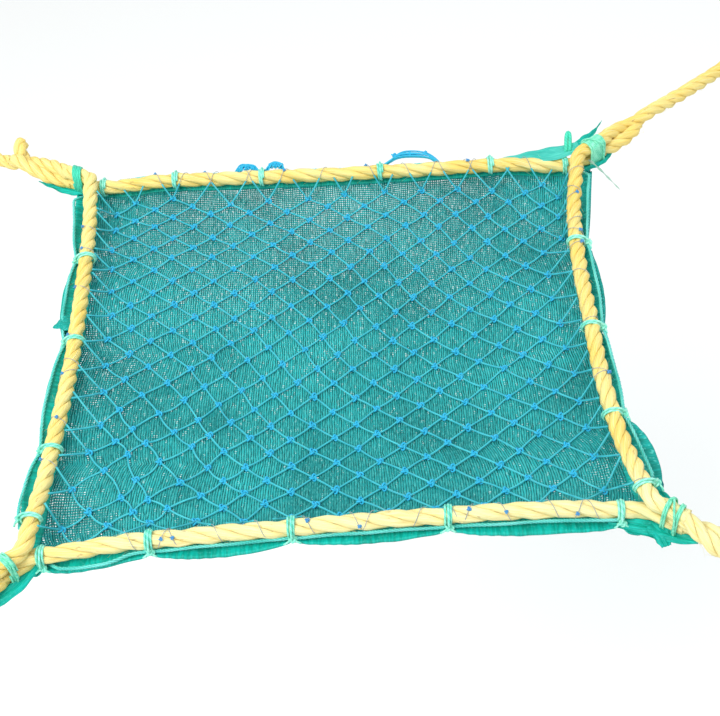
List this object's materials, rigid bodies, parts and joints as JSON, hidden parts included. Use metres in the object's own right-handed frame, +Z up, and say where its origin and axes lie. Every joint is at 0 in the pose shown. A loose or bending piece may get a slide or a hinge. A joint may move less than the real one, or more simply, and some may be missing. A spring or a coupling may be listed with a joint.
{
  "type": "rope-edged net panel",
  "caption": "Slung rope-edged panel of knitted shade cloth under knotted diamond net, with twine hitches, whipped corners and tie ropes that end in eyes.",
  "frame": {"origin": "middle of the panel, in the plane of the border ropes' centrelines", "axes": "+X along the long sides to the right, +Y from the front rope to the back rope, +Z up, away from the cloth's belly"},
  "size_m": [0.8227, 0.6641, 0.0509],
  "materials": {
    "rope": "satin polypropylene rope",
    "whipping_twine": "satin polyethylene twine",
    "hitch_twine": "satin polyethylene twine",
    "edge_cord": "satin polyethylene cord",
    "shade_cloth": "knitted polyethylene tape",
    "net_twine": "satin polyethylene twine"
  },
  "bodies": {
    "main_half": {"border_rope_back_left": "rope", "border_rope_front_left": "rope", "border_rope_left": "rope", "diamond_net_left": "net_twine", "edge_cord_back_left": "edge_cord", "edge_cord_front_left": "edge_cord", "edge_cord_left": "edge_cord", "hitch_back_1": "hitch_twine", "hitch_back_2": "hitch_twine", "hitch_back_3": "hitch_twine", "hitch_front_1": "hitch_twine", "hitch_front_2": "hitch_twine", "hitch_front_3": "hitch_twine", "hitch_left_1": "hitch_twine", "hitch_left_2": "hitch_twine", "hitch_left_3": "hitch_twine", "hitch_left_4": "hitch_twine", "shade_cloth_left": "shade_cloth", "whipping_back_left": "whipping_twine", "whipping_front_left": "whipping_twine"},
    "flap_half": {"border_rope_back_right": "rope", "border_rope_front_right": "rope", "border_rope_right": "rope", "diamond_net_right": "net_twine", "edge_cord_back_right": "edge_cord", "edge_cord_front_right": "edge_cord", "edge_cord_right": "edge_cord", "hitch_back_4": "hitch_twine", "hitch_back_5": "hitch_twine", "hitch_back_6": "hitch_twine", "hitch_front_4": "hitch_twine", "hitch_front_5": "hitch_twine", "hitch_right_1": "hitch_twine", "hitch_right_2": "hitch_twine", "hitch_right_3": "hitch_twine", "hitch_right_4": "hitch_twine", "shade_cloth_right": "shade_cloth", "whipping_back_right": "whipping_twine", "whipping_front_right": "whipping_twine"},
    "tie_back_left": {"rope_tail_back_left": "rope", "tie_eye_back_left": "rope", "tie_rope_back_left": "rope"},
    "tie_back_right": {"rope_tail_back_right": "rope", "tie_eye_back_right": "rope", "tie_rope_back_right": "rope"},
    "tie_front_right": {"rope_tail_front_right": "rope", "tie_eye_front_right": "rope", "tie_rope_front_right": "rope"},
    "tie_front_left": {"rope_tail_front_left": "rope", "tie_eye_front_left": "rope", "tie_rope_front_left": "rope"}
  },
  "joints": [
    {"name": "fold", "type": "hinge", "parent": "main_half", "child": "flap_half", "pos_m": [0, 0, 0.015], "axis": [0, -1, 0], "range_deg": [0, 180]},
    {"name": "swing_back_left", "type": "hinge", "parent": "main_half", "child": "tie_back_left", "pos_m": [-0.2511, 0.2101, 0], "axis": [0, 0, 1], "range_deg": [-30, 30]},
    {"name": "swing_back_right", "type": "hinge", "parent": "flap_half", "child": "tie_back_right", "pos_m": [0.24839, 0.20278, 0], "axis": [0, 0, 1], "range_deg": [-30, 30]},
    {"name": "swing_front_right", "type": "hinge", "parent": "flap_half", "child": "tie_front_right", "pos_m": [0.24759, -0.20387, 0], "axis": [0, 0, 1], "range_deg": [-30, 30]},
    {"name": "swing_front_left", "type": "hinge", "parent": "main_half", "child": "tie_front_left", "pos_m": [-0.24453, -0.2193, 0], "axis": [0, 0, 1], "range_deg": [-30, 30]}
  ]
}
